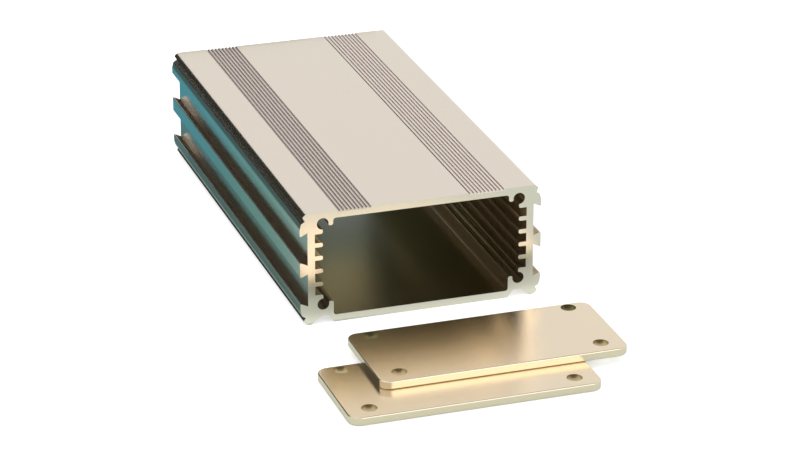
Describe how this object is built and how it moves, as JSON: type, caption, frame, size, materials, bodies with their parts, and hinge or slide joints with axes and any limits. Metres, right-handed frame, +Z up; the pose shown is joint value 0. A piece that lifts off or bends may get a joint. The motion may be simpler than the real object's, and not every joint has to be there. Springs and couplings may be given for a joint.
{
  "type": "extruded aluminium enclosure",
  "caption": "Open tube enclosure of extruded aluminium with board guides, corner screw ports and side dovetail slots, with its flat end plates lying in front.",
  "frame": {"origin": "centre of the case's underside, on the surface it stands on", "axes": "+X across the case to the right seen from its open near end, +Y along the case to its far end, +Z up"},
  "size_m": [0.0616, 0.1475, 0.0246],
  "materials": {
    "case_anodised": "satin champagne anodised",
    "plate_anodised": "brushed, champagne anodised"
  },
  "bodies": {
    "root": {"extruded_case": "case_anodised", "lower_end_plate": "plate_anodised", "upper_end_plate": "plate_anodised"}
  },
  "joints": []
}
